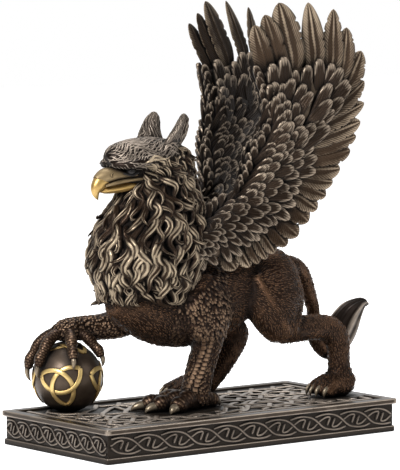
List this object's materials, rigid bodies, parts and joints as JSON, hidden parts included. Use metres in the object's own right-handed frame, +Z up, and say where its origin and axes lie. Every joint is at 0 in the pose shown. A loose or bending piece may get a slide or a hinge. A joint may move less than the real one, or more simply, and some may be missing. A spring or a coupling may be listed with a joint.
{
  "type": "griffin statue",
  "caption": "Figurine of a griffin with raised wings that stands on a low rectangular knotwork plinth and grips a ball with one foreclaw.",
  "frame": {"origin": "middle of the plinth's flat underside", "axes": "+Z up; the griffin looks along -X; its raised foreclaw and the ball are towards +Y"},
  "size_m": [0.239, 0.1064, 0.257],
  "materials": {
    "griffin": "cold-cast bronze resin, dark brown patina with pale dry-brushed highlights, satin; beak painted pale gold",
    "ball": "cold-cast bronze resin, dark polished, with raised knots painted pale gold",
    "plinth": "cold-cast bronze resin, brushed brown patina, glossy on top"
  },
  "bodies": {
    "root": {"griffin": "griffin", "ball": "ball", "plinth": "plinth"}
  },
  "joints": []
}
